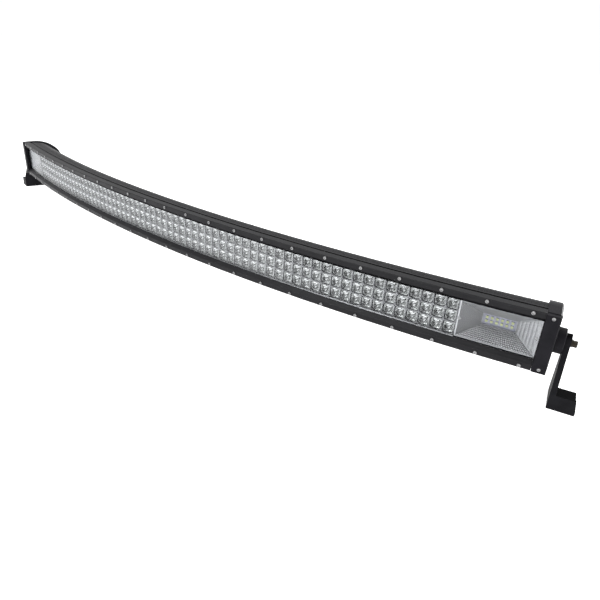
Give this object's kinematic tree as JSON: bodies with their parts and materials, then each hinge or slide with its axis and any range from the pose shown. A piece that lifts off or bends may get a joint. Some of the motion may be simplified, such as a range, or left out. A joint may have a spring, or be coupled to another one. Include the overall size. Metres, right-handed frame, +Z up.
{
  "type": "curved led light bar",
  "caption": "Long curved LED light bar with a finned black housing, rows of clear spot optics, flood reflectors at both ends, and a swivelling bracket at each end.",
  "frame": {"origin": "midway between the two foot bolt holes, on the underside of the bracket feet", "axes": "+X along the bar to the right end as seen from behind, +Z up, and the bar shines towards -Y"},
  "size_m": [1.3936, 0.1557, 0.1176],
  "materials": {
    "black_anodised": "satin black anodised aluminium",
    "black_powder_coat": "fine textured black powder coat over cast aluminium",
    "stainless_steel": "plain stainless steel",
    "yellow_zinc": "yellow passivated zinc",
    "clear_lens": "clear hard-coated polycarbonate",
    "clear_optic": "moulded clear acrylic",
    "black_rubber": "matt black rubber",
    "bright_holder": "metallised plastic",
    "bright_reflector": "satin metallised plastic",
    "white_board": "white solder mask",
    "led_phosphor": "yellow phosphor under clear resin",
    "thermal_pad": "soft grey silicone",
    "wire_insulation": "red insulation",
    "driver_board": "green solder mask",
    "inductor_black": "ferrite black",
    "capacitor_can": "bare aluminium can",
    "black_nylon": "moulded black nylon",
    "plug_brass": "plain brass"
  },
  "bodies": {
    "bar": {"board_jumpers": "wire_insulation", "breather_valve": "black_nylon", "cable_gland": "black_nylon", "driver_boards": "driver_board", "driver_capacitors": "capacitor_can", "driver_inductors": "inductor_black", "front_lens": "clear_lens", "gland_nut": "black_nylon", "housing": "black_anodised", "left_end_bezel": "black_powder_coat", "left_end_bezel_screws": "stainless_steel", "left_end_cap": "black_powder_coat", "left_end_cap_gasket": "black_rubber", "left_end_cap_screws": "stainless_steel", "left_flood_led_board": "white_board", "left_flood_leds": "led_phosphor", "left_flood_reflector": "bright_reflector", "left_flood_reflector_screws": "stainless_steel", "left_pivot_bolt": "yellow_zinc", "left_pivot_lock_washer": "yellow_zinc", "left_pivot_spacer": "black_powder_coat", "left_pivot_washer": "yellow_zinc", "lens_gasket": "black_rubber", "lower_bezel_rail": "black_anodised", "lower_bezel_screws": "stainless_steel", "plug_housing": "black_nylon", "plug_terminals": "plug_brass", "power_cable": "black_rubber", "right_end_bezel": "black_powder_coat", "right_end_bezel_screws": "stainless_steel", "right_end_cap": "black_powder_coat", "right_end_cap_gasket": "black_rubber", "right_end_cap_screws": "stainless_steel", "right_flood_led_board": "white_board", "right_flood_leds": "led_phosphor", "right_flood_reflector": "bright_reflector", "right_flood_reflector_screws": "stainless_steel", "right_pivot_bolt": "yellow_zinc", "right_pivot_lock_washer": "yellow_zinc", "right_pivot_spacer": "black_powder_coat", "right_pivot_washer": "yellow_zinc", "spot_led_boards": "white_board", "spot_leds": "led_phosphor", "spot_optic_holders": "bright_holder", "spot_optics": "clear_optic", "supply_wires": "wire_insulation", "thermal_pads": "thermal_pad", "upper_bezel_rail": "black_anodised", "upper_bezel_screws": "stainless_steel"},
    "left_arm": {"left_bracket": "black_powder_coat"},
    "right_arm": {"right_bracket": "black_powder_coat"}
  },
  "joints": [
    {"name": "left_bracket_tilt", "type": "hinge", "parent": "bar", "child": "left_arm", "pos_m": [-0.65985, 0.00054, 0.078], "axis": [0.9761, -0.2171, 0], "continuous": true},
    {"name": "right_bracket_tilt", "type": "hinge", "parent": "bar", "child": "right_arm", "pos_m": [0.65985, 0.00054, 0.078], "axis": [0.9761, 0.2171, 0], "continuous": true}
  ]
}
